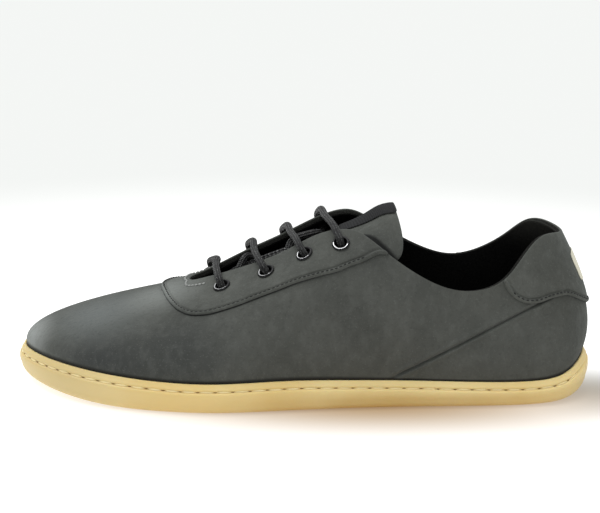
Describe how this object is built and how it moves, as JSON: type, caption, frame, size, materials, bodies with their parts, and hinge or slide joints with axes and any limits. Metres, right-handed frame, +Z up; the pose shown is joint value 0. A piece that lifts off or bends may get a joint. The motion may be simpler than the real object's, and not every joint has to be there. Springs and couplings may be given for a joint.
{
  "type": "barefoot shoe",
  "caption": "Low laced barefoot shoe for the left foot in dark grey nubuck, on a thin stitched gum rubber cupsole.",
  "frame": {"origin": "on the floor under the middle of the sole's length and width", "axes": "+Z up, +X towards the heel and -X towards the toe, -Y the lateral side of this left shoe and +Y its medial side"},
  "size_m": [0.286, 0.1058, 0.0938],
  "materials": {
    "nubuck": "matte napped",
    "gum_rubber": "satin",
    "lining": "brushed",
    "ribbon": "woven",
    "eyelet_metal": "gloss black",
    "lace_cotton": "waxed round cord"
  },
  "bodies": {
    "root": {"sole": "gum_rubber", "upper": "nubuck", "insole": "lining", "eyestay": "nubuck", "heel_patch": "nubuck", "tongue": "nubuck", "tongue_label": "ribbon", "lace": "lace_cotton", "eyelet_lateral_1": "eyelet_metal", "eyelet_lateral_2": "eyelet_metal", "eyelet_lateral_3": "eyelet_metal", "eyelet_lateral_4": "eyelet_metal", "eyelet_medial_1": "eyelet_metal", "eyelet_medial_2": "eyelet_metal", "eyelet_medial_3": "eyelet_metal", "eyelet_medial_4": "eyelet_metal"}
  },
  "joints": []
}
